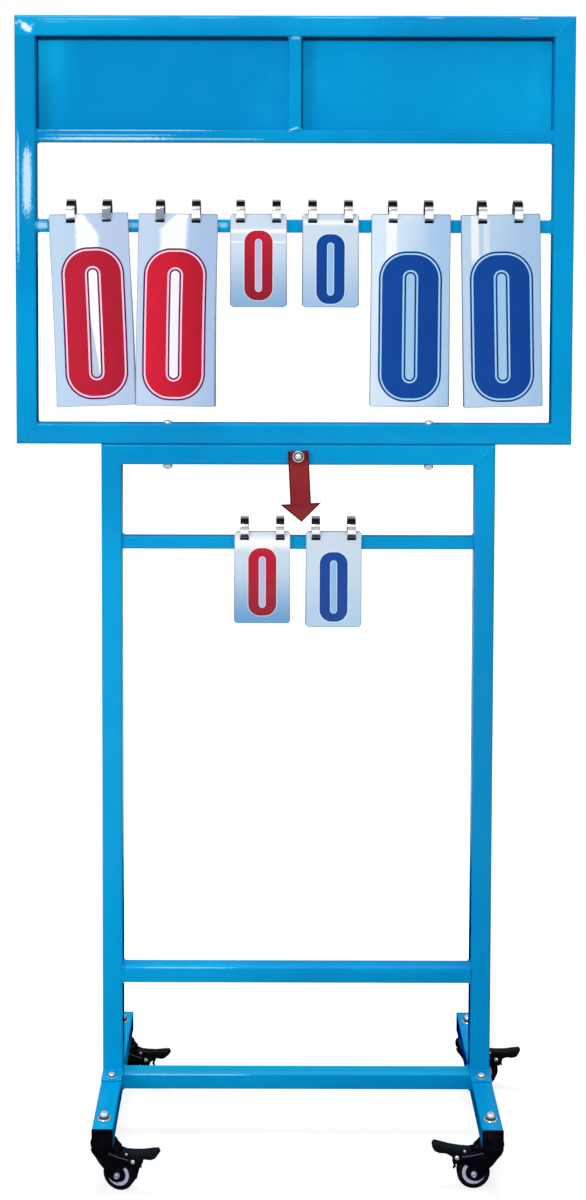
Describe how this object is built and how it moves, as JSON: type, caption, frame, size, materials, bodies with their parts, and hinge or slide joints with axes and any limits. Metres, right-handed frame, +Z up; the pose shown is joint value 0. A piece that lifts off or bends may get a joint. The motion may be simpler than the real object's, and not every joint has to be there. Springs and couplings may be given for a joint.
{
  "type": "flip-card scoreboard on a castor stand",
  "caption": "Portable football scoreboard: square-tube board on a castor stand, with flip number cards on ring pairs and a turning possession arrow.",
  "frame": {"origin": "on the floor under the middle of the board, which is the bottom centre of the object's box", "axes": "+Z up along the posts, -Y out of the board's face, +X to the right as the board is read"},
  "size_m": [0.868, 0.4186, 1.7766],
  "materials": {
    "frame_enamel": "glossy blue baked enamel on welded square steel tube",
    "arrow_enamel": "dark red enamel on cut steel sheet",
    "card_film": "printed pale card stock under a glossy laminate",
    "ring_chrome": "bright nickel-chrome strip",
    "bolt_zinc": "bright zinc plated fasteners",
    "cap_plastic": "moulded black end caps",
    "castor_plastic": "moulded black castor fork",
    "pedal_plastic": "moulded black brake pedal with a raised rim",
    "wheel_rubber": "black tread with a pale ring on its side"
  },
  "bodies": {
    "root": {"arrow_bolt": "bolt_zinc", "blue_ones_rings": "ring_chrome", "blue_tens_rings": "ring_chrome", "board_bottom_rail": "frame_enamel", "board_card_rail": "frame_enamel", "board_left_post": "frame_enamel", "board_right_post": "frame_enamel", "board_top_rail": "frame_enamel", "castor_stem_front_left": "bolt_zinc", "castor_stem_front_right": "bolt_zinc", "castor_stem_rear_left": "bolt_zinc", "castor_stem_rear_right": "bolt_zinc", "foot_brace": "frame_enamel", "foot_cap_front_left": "cap_plastic", "foot_cap_front_right": "cap_plastic", "foot_cap_rear_left": "cap_plastic", "foot_cap_rear_right": "cap_plastic", "foul_blue_rings": "ring_chrome", "foul_red_rings": "ring_chrome", "frame_bolt_left": "bolt_zinc", "frame_bolt_right": "bolt_zinc", "header_mullion": "frame_enamel", "header_panel": "frame_enamel", "header_rail": "frame_enamel", "left_foot": "frame_enamel", "period_blue_rings": "ring_chrome", "period_red_rings": "ring_chrome", "red_ones_rings": "ring_chrome", "red_tens_rings": "ring_chrome", "right_foot": "frame_enamel", "stand_brace": "frame_enamel", "stand_card_rail": "frame_enamel", "stand_left_post": "frame_enamel", "stand_right_post": "frame_enamel", "stand_top_rail": "frame_enamel"},
    "red_tens_pack_flip": {"red_tens_pack": "card_film"},
    "red_tens_card_flip": {"red_tens_front_card": "card_film"},
    "red_ones_pack_flip": {"red_ones_pack": "card_film"},
    "red_ones_card_flip": {"red_ones_front_card": "card_film"},
    "blue_tens_pack_flip": {"blue_tens_pack": "card_film"},
    "blue_tens_card_flip": {"blue_tens_front_card": "card_film"},
    "blue_ones_pack_flip": {"blue_ones_pack": "card_film"},
    "blue_ones_card_flip": {"blue_ones_front_card": "card_film"},
    "period_red_flip": {"period_red_cards": "card_film"},
    "period_blue_flip": {"period_blue_cards": "card_film"},
    "foul_red_flip": {"foul_red_cards": "card_film"},
    "foul_blue_flip": {"foul_blue_cards": "card_film"},
    "arrow": {"possession_arrow": "arrow_enamel"},
    "front_left_swivel": {"castor_fork_front_left": "castor_plastic"},
    "front_left_wheel": {"castor_wheel_front_left": "wheel_rubber"},
    "front_left_pedal": {"brake_pedal_front_left": "pedal_plastic"},
    "front_right_swivel": {"castor_fork_front_right": "castor_plastic"},
    "front_right_wheel": {"castor_wheel_front_right": "wheel_rubber"},
    "front_right_pedal": {"brake_pedal_front_right": "pedal_plastic"},
    "rear_left_swivel": {"castor_fork_rear_left": "castor_plastic"},
    "rear_left_wheel": {"castor_wheel_rear_left": "wheel_rubber"},
    "rear_left_pedal": {"brake_pedal_rear_left": "pedal_plastic"},
    "rear_right_swivel": {"castor_fork_rear_right": "castor_plastic"},
    "rear_right_wheel": {"castor_wheel_rear_right": "wheel_rubber"},
    "rear_right_pedal": {"brake_pedal_rear_right": "pedal_plastic"}
  },
  "joints": [
    {"name": "red_tens_pack_hinge", "type": "hinge", "parent": "root", "child": "red_tens_pack_flip", "pos_m": [-0.32002, 0, 1.4721], "axis": [-1, 0, 0], "range_deg": [0, 45]},
    {"name": "red_tens_card_hinge", "type": "hinge", "parent": "red_tens_pack_flip", "child": "red_tens_card_flip", "pos_m": [-0.32002, 0, 1.4721], "axis": [-1, 0, 0], "range_deg": [0, 120]},
    {"name": "red_ones_pack_hinge", "type": "hinge", "parent": "root", "child": "red_ones_pack_flip", "pos_m": [-0.18099, 0, 1.4721], "axis": [-1, 0, 0], "range_deg": [0, 45]},
    {"name": "red_ones_card_hinge", "type": "hinge", "parent": "red_ones_pack_flip", "child": "red_ones_card_flip", "pos_m": [-0.18099, 0, 1.4721], "axis": [-1, 0, 0], "range_deg": [0, 120]},
    {"name": "blue_tens_pack_hinge", "type": "hinge", "parent": "root", "child": "blue_tens_pack_flip", "pos_m": [0.18099, 0, 1.4721], "axis": [-1, 0, 0], "range_deg": [0, 45]},
    {"name": "blue_tens_card_hinge", "type": "hinge", "parent": "blue_tens_pack_flip", "child": "blue_tens_card_flip", "pos_m": [0.18099, 0, 1.4721], "axis": [-1, 0, 0], "range_deg": [0, 120]},
    {"name": "blue_ones_pack_hinge", "type": "hinge", "parent": "root", "child": "blue_ones_pack_flip", "pos_m": [0.32002, 0, 1.4721], "axis": [-1, 0, 0], "range_deg": [0, 45]},
    {"name": "blue_ones_card_hinge", "type": "hinge", "parent": "blue_ones_pack_flip", "child": "blue_ones_card_flip", "pos_m": [0.32002, 0, 1.4721], "axis": [-1, 0, 0], "range_deg": [0, 120]},
    {"name": "period_red_hinge", "type": "hinge", "parent": "root", "child": "period_red_flip", "pos_m": [-0.05601, 0, 1.4721], "axis": [-1, 0, 0], "range_deg": [0, 160]},
    {"name": "period_blue_hinge", "type": "hinge", "parent": "root", "child": "period_blue_flip", "pos_m": [0.05601, 0, 1.4721], "axis": [-1, 0, 0], "range_deg": [0, 160]},
    {"name": "foul_red_hinge", "type": "hinge", "parent": "root", "child": "foul_red_flip", "pos_m": [-0.04901, 0, 0.975], "axis": [-1, 0, 0], "range_deg": [0, 90]},
    {"name": "foul_blue_hinge", "type": "hinge", "parent": "root", "child": "foul_blue_flip", "pos_m": [0.06301, 0, 0.975], "axis": [-1, 0, 0], "range_deg": [0, 90]},
    {"name": "arrow_pivot", "type": "hinge", "parent": "root", "child": "arrow", "pos_m": [0.007, -0.02, 1.0923], "axis": [0, 1, 0], "range_deg": [-90, 90]},
    {"name": "front_left_swivel_turn", "type": "hinge", "parent": "root", "child": "front_left_swivel", "pos_m": [-0.2855, -0.173, 0.072], "axis": [0, 0, 1], "continuous": true},
    {"name": "front_left_wheel_roll", "type": "hinge", "parent": "front_left_swivel", "child": "front_left_wheel", "pos_m": [-0.26077, -0.18103, 0.025], "axis": [0.309, 0.9511, 0], "continuous": true},
    {"name": "front_left_pedal_press", "type": "hinge", "parent": "front_left_swivel", "child": "front_left_pedal", "pos_m": [-0.23605, -0.18907, 0.047], "axis": [0.309, 0.9511, 0], "range_deg": [0, 12]},
    {"name": "front_right_swivel_turn", "type": "hinge", "parent": "root", "child": "front_right_swivel", "pos_m": [0.2995, -0.173, 0.072], "axis": [0, 0, 1], "continuous": true},
    {"name": "front_right_wheel_roll", "type": "hinge", "parent": "front_right_swivel", "child": "front_right_wheel", "pos_m": [0.2735, -0.173, 0.025], "axis": [0, -1, 0], "continuous": true},
    {"name": "front_right_pedal_press", "type": "hinge", "parent": "front_right_swivel", "child": "front_right_pedal", "pos_m": [0.2475, -0.173, 0.047], "axis": [0, -1, 0], "range_deg": [0, 12]},
    {"name": "rear_left_swivel_turn", "type": "hinge", "parent": "root", "child": "rear_left_swivel", "pos_m": [-0.2855, 0.173, 0.072], "axis": [0, 0, 1], "continuous": true},
    {"name": "rear_left_wheel_roll", "type": "hinge", "parent": "rear_left_swivel", "child": "rear_left_wheel", "pos_m": [-0.26175, 0.16243, 0.025], "axis": [0.4067, 0.9135, 0], "continuous": true},
    {"name": "rear_left_pedal_press", "type": "hinge", "parent": "rear_left_swivel", "child": "rear_left_pedal", "pos_m": [-0.238, 0.15185, 0.047], "axis": [0.4067, 0.9135, 0], "range_deg": [0, 12]},
    {"name": "rear_right_swivel_turn", "type": "hinge", "parent": "root", "child": "rear_right_swivel", "pos_m": [0.2995, 0.173, 0.072], "axis": [0, 0, 1], "continuous": true},
    {"name": "rear_right_wheel_roll", "type": "hinge", "parent": "rear_right_swivel", "child": "rear_right_wheel", "pos_m": [0.32423, 0.16497, 0.025], "axis": [0.309, 0.9511, 0], "continuous": true},
    {"name": "rear_right_pedal_press", "type": "hinge", "parent": "rear_right_swivel", "child": "rear_right_pedal", "pos_m": [0.34896, 0.15693, 0.047], "axis": [0.309, 0.9511, 0], "range_deg": [0, 12]}
  ]
}
